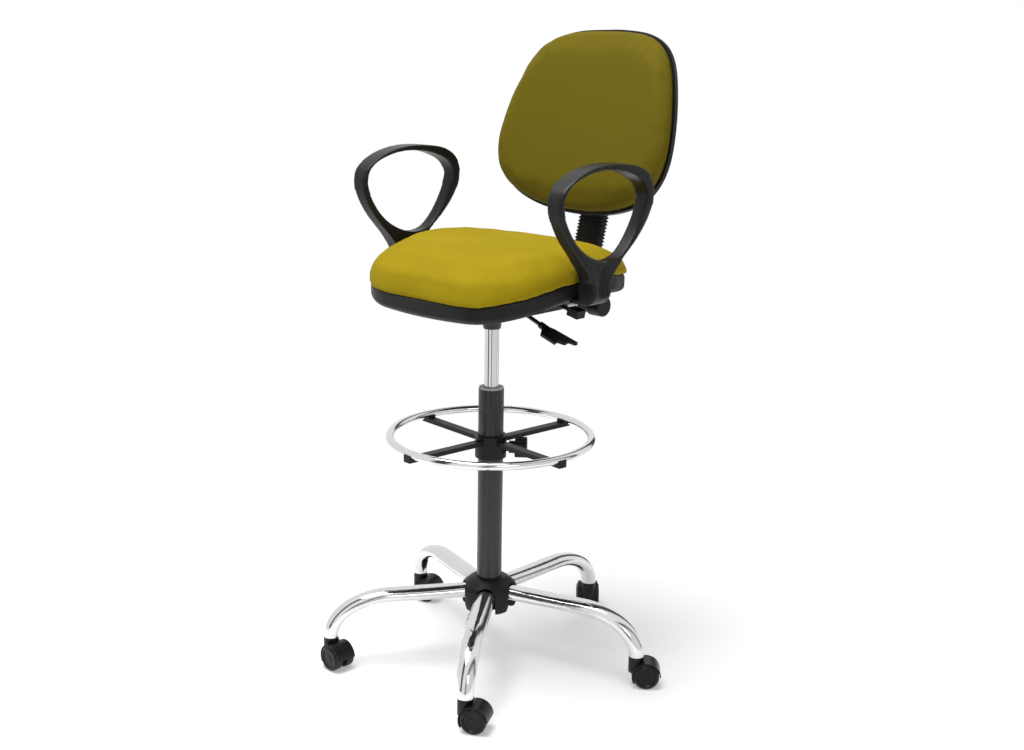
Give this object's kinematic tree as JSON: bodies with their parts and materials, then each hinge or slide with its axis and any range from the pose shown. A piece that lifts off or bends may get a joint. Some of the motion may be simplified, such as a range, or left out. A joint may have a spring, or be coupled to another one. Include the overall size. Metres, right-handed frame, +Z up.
{
  "type": "drafting chair",
  "caption": "High drafting chair with an upholstered seat and back, loop armrests, a gas lift, a sliding foot ring and a five-legged base on twin-wheel castors.",
  "frame": {"origin": "on the floor, under the axis of the column", "axes": "+Z up, the sitter faces -Y, the sitter's left hand is on +X"},
  "size_m": [0.6745, 0.6545, 1.2522],
  "materials": {
    "chrome": "polished",
    "zinc_steel": "zinc plated",
    "black_steel": "satin black powder coat",
    "black_plastic": "fine grain",
    "shell_plastic": "soft grain",
    "grey_plastic": "smooth",
    "bellows_plastic": "matt",
    "castor_plastic": "satin",
    "plywood": "raw",
    "seat_fabric": "woven mustard",
    "back_fabric": "woven olive mustard"
  },
  "bodies": {
    "base": {"hub_core": "black_steel", "hub_cover": "black_plastic", "legs": "chrome", "castor_sockets": "grey_plastic", "column_tube": "black_steel", "column_end_plate": "zinc_steel", "thrust_bearing": "zinc_steel", "guide_bush": "grey_plastic"},
    "gas_rod": {"piston_rod": "chrome", "rod_clip": "zinc_steel"},
    "seat": {"gas_cylinder": "chrome", "mechanism_housing": "black_steel", "mechanism_plate": "black_steel", "mechanism_bolts": "zinc_steel", "tilt_bolt": "zinc_steel", "friction_washers": "zinc_steel", "lever_hanger": "zinc_steel", "seat_shell": "shell_plastic", "seat_board": "plywood", "seat_cushion": "seat_fabric", "armrest_left": "shell_plastic", "armrest_right": "shell_plastic", "arm_screws": "zinc_steel"},
    "height_lever": {"height_lever": "black_steel", "height_lever_grip": "black_plastic"},
    "valve_button": {"valve_button": "zinc_steel"},
    "lock_lever": {"lock_lever": "black_plastic"},
    "tension_knob": {"tension_knob": "black_plastic"},
    "back_bar": {"back_bar": "black_steel"},
    "backrest": {"back_bracket": "black_plastic", "back_screws": "zinc_steel", "back_shell": "shell_plastic", "back_board": "plywood", "back_cushion": "back_fabric", "back_bellows": "bellows_plastic"},
    "back_height_knob": {"back_height_knob": "black_plastic"},
    "foot_ring": {"foot_ring_hoop": "chrome", "foot_ring_collar": "black_plastic", "foot_ring_spokes": "black_plastic"},
    "foot_ring_knob": {"foot_ring_knob": "black_plastic"},
    "castor_1": {"castor_1_hood": "castor_plastic", "castor_1_pins": "zinc_steel"},
    "castor_1_wheel_a": {"castor_1_wheel_a": "castor_plastic"},
    "castor_1_wheel_b": {"castor_1_wheel_b": "castor_plastic"},
    "castor_2": {"castor_2_hood": "castor_plastic", "castor_2_pins": "zinc_steel"},
    "castor_2_wheel_a": {"castor_2_wheel_a": "castor_plastic"},
    "castor_2_wheel_b": {"castor_2_wheel_b": "castor_plastic"},
    "castor_3": {"castor_3_hood": "castor_plastic", "castor_3_pins": "zinc_steel"},
    "castor_3_wheel_a": {"castor_3_wheel_a": "castor_plastic"},
    "castor_3_wheel_b": {"castor_3_wheel_b": "castor_plastic"},
    "castor_4": {"castor_4_hood": "castor_plastic", "castor_4_pins": "zinc_steel"},
    "castor_4_wheel_a": {"castor_4_wheel_a": "castor_plastic"},
    "castor_4_wheel_b": {"castor_4_wheel_b": "castor_plastic"},
    "castor_5": {"castor_5_hood": "castor_plastic", "castor_5_pins": "zinc_steel"},
    "castor_5_wheel_a": {"castor_5_wheel_a": "castor_plastic"},
    "castor_5_wheel_b": {"castor_5_wheel_b": "castor_plastic"}
  },
  "joints": [
    {"name": "seat_swivel", "type": "hinge", "parent": "base", "child": "gas_rod", "pos_m": [0, 0, 0.12], "axis": [0, 0, 1], "continuous": true},
    {"name": "seat_lift", "type": "slide", "parent": "gas_rod", "child": "seat", "axis": [0, 0, 1], "range_m": [-0.105, 0]},
    {"name": "height_lever_lift", "type": "hinge", "parent": "seat", "child": "height_lever", "pos_m": [0.04214, -0.00857, 0.7445], "axis": [-0.1994, -0.9799, 0], "range_deg": [0, 6], "stiffness_Nm_per_rad": 3, "springref_deg": -14.32},
    {"name": "valve_press", "type": "slide", "parent": "seat", "child": "valve_button", "axis": [0, 0, -1], "range_m": [0, 0.005], "stiffness_N_per_m": 1000, "springref_m": -0.002},
    {"name": "lock_lever_lift", "type": "hinge", "parent": "seat", "child": "lock_lever", "pos_m": [0.052, 0.128, 0.722], "axis": [0, -1, 0], "range_deg": [0, 8]},
    {"name": "tension_turn", "type": "hinge", "parent": "seat", "child": "tension_knob", "pos_m": [0.12, 0.172, 0.721], "axis": [1, 0, 0], "range_deg": [0, 360]},
    {"name": "back_tilt", "type": "hinge", "parent": "seat", "child": "back_bar", "pos_m": [0, 0.172, 0.721], "axis": [-1, 0, 0], "range_deg": [-5, 14]},
    {"name": "back_height", "type": "slide", "parent": "back_bar", "child": "backrest", "axis": [0, 0.2588, 0.9659], "range_m": [-0.03, 0.03], "deforming": ["back_bellows"]},
    {"name": "back_height_knob_turn", "type": "hinge", "parent": "backrest", "child": "back_height_knob", "pos_m": [0, 0.34664, 0.96832], "axis": [0, 0.9659, -0.2588], "range_deg": [0, 360]},
    {"name": "foot_ring_slide", "type": "slide", "parent": "base", "child": "foot_ring", "axis": [0, 0, 1], "range_m": [-0.245, 0.085]},
    {"name": "foot_ring_knob_turn", "type": "hinge", "parent": "foot_ring", "child": "foot_ring_knob", "pos_m": [0.03886, 0.03147, 0.443], "axis": [0.7771, 0.6293, 0], "range_deg": [0, 360]},
    {"name": "castor_1_swivel", "type": "hinge", "parent": "base", "child": "castor_1", "pos_m": [0, 0.32, 0.06], "axis": [0, 0, 1], "continuous": true},
    {"name": "castor_1_roll_a", "type": "hinge", "parent": "castor_1", "child": "castor_1_wheel_a", "pos_m": [-0.01364, 0.33463, 0.025], "axis": [-0.7314, -0.682, 0], "continuous": true},
    {"name": "castor_1_roll_b", "type": "hinge", "parent": "castor_1", "child": "castor_1_wheel_b", "pos_m": [-0.01364, 0.33463, 0.025], "axis": [-0.7314, -0.682, 0], "continuous": true},
    {"name": "castor_2_swivel", "type": "hinge", "parent": "base", "child": "castor_2", "pos_m": [-0.30434, 0.09889, 0.06], "axis": [0, 0, 1], "continuous": true},
    {"name": "castor_2_roll_a", "type": "hinge", "parent": "castor_2", "child": "castor_2_wheel_a", "pos_m": [-0.28554, 0.10573, 0.025], "axis": [-0.342, 0.9397, 0], "continuous": true},
    {"name": "castor_2_roll_b", "type": "hinge", "parent": "castor_2", "child": "castor_2_wheel_b", "pos_m": [-0.28554, 0.10573, 0.025], "axis": [-0.342, 0.9397, 0], "continuous": true},
    {"name": "castor_3_swivel", "type": "hinge", "parent": "base", "child": "castor_3", "pos_m": [-0.18809, -0.25888, 0.06], "axis": [0, 0, 1], "continuous": true},
    {"name": "castor_3_roll_a", "type": "hinge", "parent": "castor_3", "child": "castor_3_wheel_a", "pos_m": [-0.1681, -0.25958, 0.025], "axis": [0.0349, 0.9994, 0], "continuous": true},
    {"name": "castor_3_roll_b", "type": "hinge", "parent": "castor_3", "child": "castor_3_wheel_b", "pos_m": [-0.1681, -0.25958, 0.025], "axis": [0.0349, 0.9994, 0], "continuous": true},
    {"name": "castor_4_swivel", "type": "hinge", "parent": "base", "child": "castor_4", "pos_m": [0.18809, -0.25888, 0.06], "axis": [0, 0, 1], "continuous": true},
    {"name": "castor_4_roll_a", "type": "hinge", "parent": "castor_4", "child": "castor_4_wheel_a", "pos_m": [0.20575, -0.2495, 0.025], "axis": [-0.4695, 0.8829, 0], "continuous": true},
    {"name": "castor_4_roll_b", "type": "hinge", "parent": "castor_4", "child": "castor_4_wheel_b", "pos_m": [0.20575, -0.2495, 0.025], "axis": [-0.4695, 0.8829, 0], "continuous": true},
    {"name": "castor_5_swivel", "type": "hinge", "parent": "base", "child": "castor_5", "pos_m": [0.30434, 0.09889, 0.06], "axis": [0, 0, 1], "continuous": true},
    {"name": "castor_5_roll_a", "type": "hinge", "parent": "castor_5", "child": "castor_5_wheel_a", "pos_m": [0.31966, 0.11174, 0.025], "axis": [-0.6428, 0.766, 0], "continuous": true},
    {"name": "castor_5_roll_b", "type": "hinge", "parent": "castor_5", "child": "castor_5_wheel_b", "pos_m": [0.31966, 0.11174, 0.025], "axis": [-0.6428, 0.766, 0], "continuous": true}
  ],
  "couplings": [
    {"joint": "valve_press", "follows": "height_lever_lift", "m_per_rad": 0.047}
  ]
}
